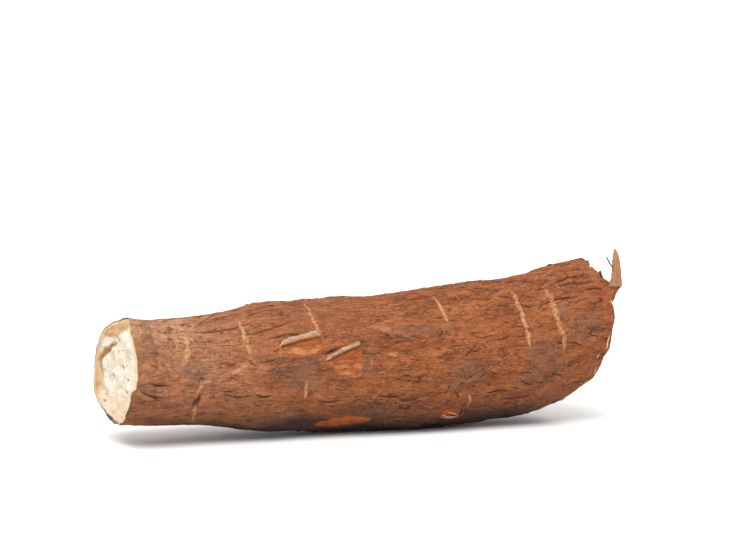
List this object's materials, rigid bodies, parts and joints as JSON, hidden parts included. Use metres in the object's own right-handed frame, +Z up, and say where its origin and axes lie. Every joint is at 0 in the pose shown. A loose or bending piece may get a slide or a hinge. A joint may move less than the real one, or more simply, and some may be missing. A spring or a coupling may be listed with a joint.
{
  "type": "cassava root",
  "caption": "Thick brown cassava root piece lying on its side, with one end sawn to show pale flesh, the other end snapped off, peeled spots and a bark splinter.",
  "frame": {"origin": "middle of the bounding box, on the ground plane that the root lies on", "axes": "+X along the root from its sawn thin end to its broken thick end, +Y away from the viewer, +Z up"},
  "size_m": [0.2563, 0.0728, 0.0877],
  "materials": {
    "bark": "rough, dry and flaky",
    "flesh": "matt, slightly moist"
  },
  "bodies": {
    "root": {"cassava_root": "bark"}
  },
  "joints": []
}
